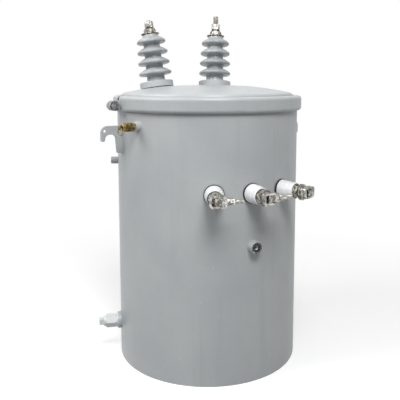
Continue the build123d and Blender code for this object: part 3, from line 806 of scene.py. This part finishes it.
# ---------------------------------------------------------------- welds
# Bead radii are in mm.
lug_bead, lug_half_t = 2.3, 5.0 * MM
hanger_bead, hanger_half_t = 2.1, 3.4 * MM
hanger_across, hanger_half_h = 39 * MM, 28 * MM
boss_bead = 1.5
boss_weld_r = {"ground_boss": 15.5, "relief_boss": 12.6, "side_boss": 10.1, "drain_coupling": 22.9}
boss_steps, plate_steps, foot_steps = 72, 40, 360
seam_bearing, seam_step, seam_sunk = math.radians(15.5), 0.004, 1.5 * MM
seam_bead, seam_unevenness, seam_seed = 1.85, 0.1, 20.0
foot_inset, foot_bead, foot_seed = 3.1 * MM, 2.4, 21.0
weld = weld_tree()


def bead(points, radius, seed, closed=True, **sizes):
    values = {"Bead Radius": radius * MM, "Seed": seed, "Finish": weld_paint, **sizes}
    return grown(weld, path_mesh("weld_path", points, closed), values)


def round_boss(node, radius):
    """A weld path round a boss on the wall."""
    azimuth, height = azimuth_of(node), middle_of(node).z
    return [on_wall(azimuth, height, radius * MM * math.cos(t), radius * MM * math.sin(t))
            for t in full_turn(boss_steps)]


def round_plate(azimuth, low, high, across, half_t):
    """A weld path round an upright plate's foot on the wall."""
    rise = [low + (high - low) * i / plate_steps for i in range(plate_steps + 1)]
    right = [on_wall(azimuth, z, across + half_t, 0) for z in rise]
    left = [on_wall(azimuth, z, across - half_t, 0) for z in reversed(rise)]
    return right + left


beads = []
for side, bearing in (("left", -math.pi / 2), ("right", math.pi / 2)):
    low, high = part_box(f"lifting_lug_{side}")
    path = round_plate(bearing, low.z, high.z, 0, lug_half_t)
    beads.append(bead(path, lug_bead, len(beads)))
for level in ("lower", "upper"):
    height = middle_of(f"pole_hanger_{level}").z
    for across in (-hanger_across, hanger_across):
        path = round_plate(math.pi, height - hanger_half_h, height + hanger_half_h, across,
                           hanger_half_t)
        beads.append(bead(path, hanger_bead, len(beads)))
for node, radius in boss_weld_r.items():
    beads.append(bead(round_boss(node, radius), boss_bead, len(beads)))
show_joined("fitting_welds", beads)

seam = [on_wall(seam_bearing, z * seam_step, 0, 0, -seam_sunk)
        for z in range(1, int(rim_low / seam_step) + 1)]
foot_r = tank_r - foot_inset
foot = [Vector((foot_r * math.cos(t), foot_r * math.sin(t), bottom_low))
        for t in full_turn(foot_steps)]
seam_weld = bead(seam, seam_bead, seam_seed, closed=False, Unevenness=seam_unevenness)
show_joined("tank_seams", [seam_weld, bead(foot, foot_bead, foot_seed)])


# ---------------------------------------------------------------- broken edges
# Widths in mm.
lug_edge, hanger_edge, boss_edge, plug_edge = 0.9, 0.8, 0.6, 0.5
casting_edge, turned_edge, valve_edge = 0.7, 0.35, 0.3
# In mm from a seat: the ground boss's recess and bore, and the band bolt's washers.
recess_r, recess_from = 11.7, 1.0
washer_near, washer_far, washer_bore_r = 13.9, 16.1, 5.2


def darken(piece, seat, chosen):
    """Dark steel on the faces that a rule picks by radius and height in mm from a seat."""
    piece.data.materials.append(dark_steel)
    dark = len(piece.data.materials) - 1
    to_seat = seat.inverted()
    for face in piece.data.polygons:
        spot = (to_seat @ face.center) / MM
        if chosen(math.hypot(spot.x, spot.y), spot.z):
            face.material_index = dark


for side in ("left", "right"):
    bevelled(f"lifting_lug_{side}", lug_edge, tank_paint)
for level in ("lower", "upper"):
    bevelled(f"pole_hanger_{level}", hanger_edge, tank_paint)
darken(bevelled("ground_boss", boss_edge, tank_paint), ground_seat,
       lambda r, z: r < recess_r and z > recess_from)
for terminal in ("hv1", "hv2", "lv1", "lv2", "lv3"):
    bevelled(f"{terminal}_eyebolt", casting_edge, tinned_casting)
    bevelled(f"{terminal}_post", turned_edge, tinned_turning)
darken(bevelled("band_bolt", turned_edge, zinc_steel), bolt_seat,
       lambda r, z: washer_near < abs(z) < washer_far and r > washer_bore_r)
bevelled("relief_valve", valve_edge, brass)
bevelled("drain_plug", plug_edge, fitting_paint)


# ---------------------------------------------------------------- studio
lamp_aim = (0, 0, 0.45)
low_sky, high_sky, right_sky = grey(0.08), grey(0.56), grey(0.2)
floor_half = 6
shadow_from, shadow_to = 0.55, 1.5  # the floor's shadow fades out between these reaches
shadow_hold = 0.72  # how much of the floor's own glow gives way to its shading near the object


def lamp(name, size, watts, place):
    """A round lamp that faces the object's middle."""
    light = bpy.data.lights.new(name, "AREA")
    light.shape = "DISK"
    light.size = size
    light.energy = watts
    made = bpy.data.objects.new(name, light)
    bpy.context.collection.objects.link(made)
    made.location = place
    made.rotation_euler = (Vector(lamp_aim) - Vector(place)).to_track_quat("-Z", "Y").to_euler()


def seen(g):
    """1 where the camera looks, directly, in a reflection or through glass."""
    rays = [g.node("ShaderNodeLightPath", {}, {}, f"Is {kind} Ray")
            for kind in ("Camera", "Glossy", "Transmission")]
    return (rays[0] + rays[1] + rays[2]).clamp()


world = bpy.data.worlds.new("studio")
bpy.context.scene.world = world
world.use_nodes = True
w = Graph(world.node_tree)
background = world.node_tree.nodes["Background"]
look = w.node("ShaderNodeTexCoord", {}, {}, "Generated")
sky = w.mix(look.axis("Z").between(-0.15, 0.75), low_sky, high_sky)
sky = w.mix(look.axis("X").between(0.05, 0.75), sky, right_sky)
world.node_tree.links.new(w.mix(seen(w), sky, WHITE).socket, background.inputs["Color"])
background.inputs["Strength"].default_value = 1.0

lamp("key", size=1.0, watts=43, place=(-0.5, -1.6, 2.3))
lamp("left_key", size=1.3, watts=29, place=(-1.85, 0.2, 2.1))


def studio_floor(g, at):
    """White floor that keeps the shadow near the object and is plain white further out."""
    grain = g.noise(at, scale=6.0)
    reach = g.node("ShaderNodeVectorMath", {"operation": "LENGTH"}, {0: at}, "Value")
    near = 1.0 - reach.between(shadow_from, shadow_to)
    shade = g.mix(grain * 0.1, rgb(236, 236, 236), rgb(228, 228, 228))
    lit = g.mix(seen(g), rgb(150, 150, 150), shade)
    colour = g.mix(seen(g) * (1.0 - near), lit, BLACK)
    glow = g.mix(seen(g) * (1.0 - near * shadow_hold), BLACK, WHITE)
    return {"Base Color": colour, "Emission Color": glow}


floor_corners = [(x * floor_half, y * floor_half, 0)
                 for x, y in ((-1, -1), (1, -1), (1, 1), (-1, 1))]
floor_mesh = bpy.data.meshes.new("floor")
floor_mesh.from_pydata(floor_corners, [], [(0, 1, 2, 3)])
floor_mesh.materials.append(finish("studio_floor", studio_floor, Roughness=0.9,
                                   Emission_Strength=1.0, Specular_IOR_Level=0.0))
floor = bpy.data.objects.new("floor", floor_mesh)
bpy.context.collection.objects.link(floor)
floor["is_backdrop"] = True

camera_reach, camera_height = 1.606, 0.764
camera_bearing, camera_dip = math.radians(-27), 6.6
camera_data = bpy.data.cameras.new("camera")
camera_data.lens, camera_data.sensor_width = 51.3, 36
camera_data.shift_x, camera_data.shift_y = -0.018, -0.131
camera = bpy.data.objects.new("camera", camera_data)
camera.location = (camera_reach * math.sin(camera_bearing),
                   -camera_reach * math.cos(camera_bearing), camera_height)
camera.rotation_euler = (math.radians(90 - camera_dip), 0, camera_bearing)
bpy.context.collection.objects.link(camera)
bpy.context.scene.camera = camera

bpy.context.scene.view_settings.view_transform = "Standard"

low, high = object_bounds()
